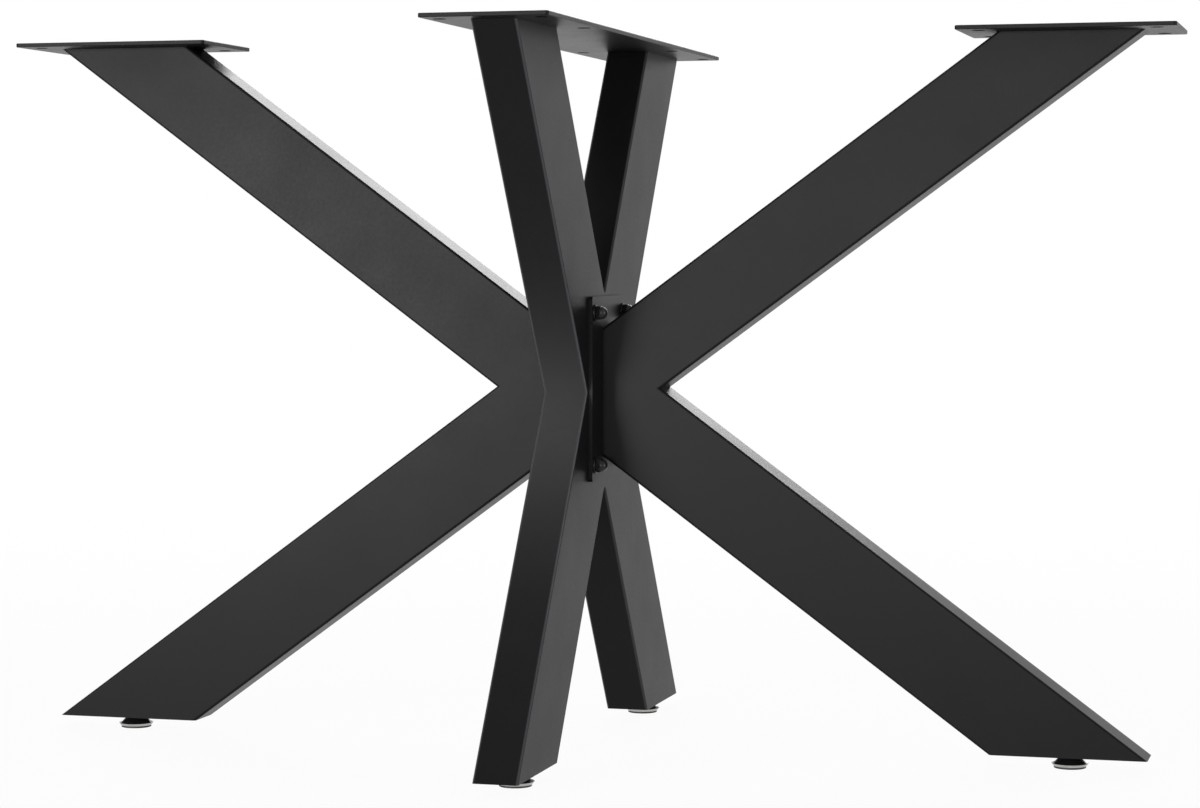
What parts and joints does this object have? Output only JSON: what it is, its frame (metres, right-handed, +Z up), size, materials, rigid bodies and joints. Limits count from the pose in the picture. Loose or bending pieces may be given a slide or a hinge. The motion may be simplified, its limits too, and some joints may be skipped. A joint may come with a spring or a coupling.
{
  "type": "table base",
  "caption": "Black steel spider table base: a crossed centre frame with a K-shaped frame bolted to each side, flat drilled top plates and screw-in levelling feet.",
  "frame": {"origin": "on the floor, under the centre of the crossed frame", "axes": "+Z up, +X along the table through both side frames, +Y to the rear through the crossed frame"},
  "size_m": [1.174, 0.673, 0.71],
  "materials": {
    "powder_coat": "fine-texture satin black powder coat",
    "black_fixings": "black coated steel bolts, nuts and washers",
    "zinc_steel": "bright zinc plate",
    "foot_pad": "matt black",
    "foot_dish": "bright nickel plate",
    "foot_hub": "gloss black"
  },
  "bodies": {
    "frame": {"front_upper_leg": "powder_coat", "front_lower_leg": "powder_coat", "rear_upper_leg": "powder_coat", "rear_lower_leg": "powder_coat", "centre_top_plate": "powder_coat", "left_upper_arm": "powder_coat", "left_lower_arm": "powder_coat", "left_top_plate": "powder_coat", "left_joint_flange": "powder_coat", "left_joint_washers": "black_fixings", "right_upper_arm": "powder_coat", "right_lower_arm": "powder_coat", "right_top_plate": "powder_coat", "right_joint_flange": "powder_coat", "right_joint_washers": "black_fixings", "right_cap_nuts": "black_fixings", "joint_bolts": "black_fixings", "front_closing_plate": "powder_coat", "front_weld_nut": "zinc_steel", "rear_closing_plate": "powder_coat", "rear_weld_nut": "zinc_steel", "left_closing_plate": "powder_coat", "left_weld_nut": "zinc_steel", "right_closing_plate": "powder_coat", "right_weld_nut": "zinc_steel"},
    "front_foot_base": {"front_foot_pad": "foot_pad", "front_foot_dish": "foot_dish"},
    "front_foot_screw": {"front_foot_stud": "zinc_steel", "front_foot_hub": "foot_hub"},
    "rear_foot_base": {"rear_foot_pad": "foot_pad", "rear_foot_dish": "foot_dish"},
    "rear_foot_screw": {"rear_foot_stud": "zinc_steel", "rear_foot_hub": "foot_hub"},
    "left_foot_base": {"left_foot_pad": "foot_pad", "left_foot_dish": "foot_dish"},
    "left_foot_screw": {"left_foot_stud": "zinc_steel", "left_foot_hub": "foot_hub"},
    "right_foot_base": {"right_foot_pad": "foot_pad", "right_foot_dish": "foot_dish"},
    "right_foot_screw": {"right_foot_stud": "zinc_steel", "right_foot_hub": "foot_hub"}
  },
  "joints": [
    {"name": "front_foot_height", "type": "slide", "parent": "frame", "child": "front_foot_base", "axis": [0, 0, -1], "range_m": [0, 0.012]},
    {"name": "front_foot_turn", "type": "hinge", "parent": "front_foot_base", "child": "front_foot_screw", "pos_m": [0, -0.2376, 0.012], "axis": [0, 0, -1], "range_deg": [-90, 2970]},
    {"name": "rear_foot_height", "type": "slide", "parent": "frame", "child": "rear_foot_base", "axis": [0, 0, -1], "range_m": [0, 0.012]},
    {"name": "rear_foot_turn", "type": "hinge", "parent": "rear_foot_base", "child": "rear_foot_screw", "pos_m": [0, 0.2376, 0.012], "axis": [0, 0, -1], "range_deg": [-90, 2970]},
    {"name": "left_foot_height", "type": "slide", "parent": "frame", "child": "left_foot_base", "axis": [0, 0, -1], "range_m": [0, 0.012]},
    {"name": "left_foot_turn", "type": "hinge", "parent": "left_foot_base", "child": "left_foot_screw", "pos_m": [-0.48669, 0, 0.012], "axis": [0, 0, -1], "range_deg": [-90, 2970]},
    {"name": "right_foot_height", "type": "slide", "parent": "frame", "child": "right_foot_base", "axis": [0, 0, -1], "range_m": [0, 0.012]},
    {"name": "right_foot_turn", "type": "hinge", "parent": "right_foot_base", "child": "right_foot_screw", "pos_m": [0.48669, 0, 0.012], "axis": [0, 0, -1], "range_deg": [-90, 2970]}
  ],
  "couplings": [
    {"joint": "front_foot_turn", "follows": "front_foot_height", "rad_per_m": 4188.8},
    {"joint": "rear_foot_turn", "follows": "rear_foot_height", "rad_per_m": 4188.8},
    {"joint": "left_foot_turn", "follows": "left_foot_height", "rad_per_m": 4188.8},
    {"joint": "right_foot_turn", "follows": "right_foot_height", "rad_per_m": 4188.8}
  ]
}
